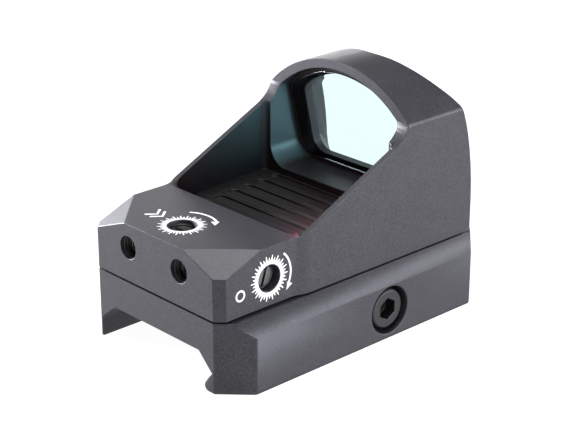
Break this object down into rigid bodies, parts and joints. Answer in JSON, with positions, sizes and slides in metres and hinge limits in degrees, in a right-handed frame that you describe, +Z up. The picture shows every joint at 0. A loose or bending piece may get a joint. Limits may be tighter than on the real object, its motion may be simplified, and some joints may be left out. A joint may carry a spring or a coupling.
{
  "type": "red dot finder",
  "caption": "Open reflex red dot finder: hooded tilted lens, stepped sight well, slotted elevation and windage screws, on a screw-clamped accessory rail base.",
  "frame": {"origin": "centre of the rail seat, the flat ceiling of the groove that rests on top of the accessory rail", "axes": "+X right as the user looks through the window, +Y along the rail towards the target, +Z up"},
  "size_m": [0.0292, 0.045, 0.0325],
  "materials": {
    "anodised_aluminium": "matte bead-blasted charcoal hard anodising",
    "dark_steel": "black oxide",
    "bright_steel": "bright nickel plated",
    "brass": "turned",
    "black_composite": "matte black",
    "rubber": "matte moulded",
    "board_laminate": "solder mask",
    "amber_film": "polyimide film",
    "coated_glass": "polished and coated",
    "red_diode": "clear red epoxy"
  },
  "bodies": {
    "sight_body": {"housing": "anodised_aluminium", "lens": "coated_glass", "lens_seal": "rubber", "lens_retainer": "black_composite", "emitter_window": "coated_glass", "bottom_cover": "anodised_aluminium", "cover_screw_1": "dark_steel", "cover_screw_2": "dark_steel", "cover_screw_3": "dark_steel", "cover_screw_4": "dark_steel", "elevation_seal": "rubber", "elevation_spring": "bright_steel", "windage_seal": "rubber", "button_switch": "black_composite", "circuit_board": "board_laminate", "driver_chip": "black_composite", "flex_cable": "amber_film", "battery": "bright_steel", "battery_contact_positive": "brass", "battery_contact_negative": "brass", "battery_gasket": "rubber", "mount_base": "anodised_aluminium", "mount_screw_1": "dark_steel", "mount_screw_2": "dark_steel", "mount_screw_3": "dark_steel", "mount_screw_4": "dark_steel", "mount_dowel_1": "bright_steel", "mount_dowel_2": "bright_steel", "clamp_washer": "bright_steel"},
    "elevation_screw": {"elevation_screw": "dark_steel"},
    "elevation_slide": {"elevation_slide": "brass"},
    "windage_screw": {"windage_screw": "dark_steel", "windage_clip": "bright_steel"},
    "windage_nut": {"windage_nut": "brass"},
    "emitter_holder": {"emitter_holder": "black_composite", "led_emitter": "red_diode"},
    "lock_screw_left": {"lock_screw_left": "dark_steel"},
    "lock_screw_right": {"lock_screw_right": "dark_steel"},
    "power_button": {"power_button": "rubber", "button_seal": "rubber"},
    "clamp_screw": {"clamp_screw": "dark_steel"},
    "clamp_jaw": {"clamp_jaw": "anodised_aluminium", "jaw_guide_pin_1": "bright_steel", "jaw_guide_pin_2": "bright_steel"}
  },
  "joints": [
    {"name": "elevation_turn", "type": "hinge", "parent": "sight_body", "child": "elevation_screw", "pos_m": [0, -0.0179, 0.01059], "axis": [0, 0, 1], "range_deg": [-210, 210]},
    {"name": "elevation_travel", "type": "slide", "parent": "sight_body", "child": "elevation_slide", "axis": [0, 0, 1], "range_m": [-0.00029, 0.00029], "deforming": ["elevation_spring"]},
    {"name": "windage_turn", "type": "hinge", "parent": "sight_body", "child": "windage_screw", "pos_m": [0.011, -0.01465, 0.00819], "axis": [1, 0, 0], "range_deg": [-210, 210]},
    {"name": "windage_travel", "type": "slide", "parent": "sight_body", "child": "windage_nut", "axis": [1, 0, 0], "range_m": [-0.00029, 0.00029]},
    {"name": "emitter_travel", "type": "slide", "parent": "elevation_slide", "child": "emitter_holder", "axis": [1, 0, 0], "range_m": [-0.0003, 0.0003]},
    {"name": "lock_left_turn", "type": "hinge", "parent": "sight_body", "child": "lock_screw_left", "pos_m": [-0.00485, -0.02125, 0.00909], "axis": [0, -1, 0], "range_deg": [0, 360]},
    {"name": "lock_right_turn", "type": "hinge", "parent": "sight_body", "child": "lock_screw_right", "pos_m": [0.00485, -0.02125, 0.00909], "axis": [0, -1, 0], "range_deg": [0, 360]},
    {"name": "button_press", "type": "slide", "parent": "sight_body", "child": "power_button", "axis": [1, 0, 0], "range_m": [0, 0.0004], "stiffness_N_per_m": 1500},
    {"name": "clamp_turn", "type": "hinge", "parent": "sight_body", "child": "clamp_screw", "pos_m": [0.014, 0.00365, -0.00099], "axis": [1, 0, 0], "range_deg": [0, 1080]},
    {"name": "jaw_travel", "type": "slide", "parent": "sight_body", "child": "clamp_jaw", "axis": [-1, 0, 0], "range_m": [0, 0.0021]}
  ],
  "couplings": [
    {"joint": "elevation_turn", "follows": "elevation_travel", "rad_per_m": -12566},
    {"joint": "windage_turn", "follows": "windage_travel", "rad_per_m": -12566},
    {"joint": "emitter_travel", "follows": "windage_travel", "ratio": 1},
    {"joint": "clamp_turn", "follows": "jaw_travel", "rad_per_m": 8976}
  ]
}
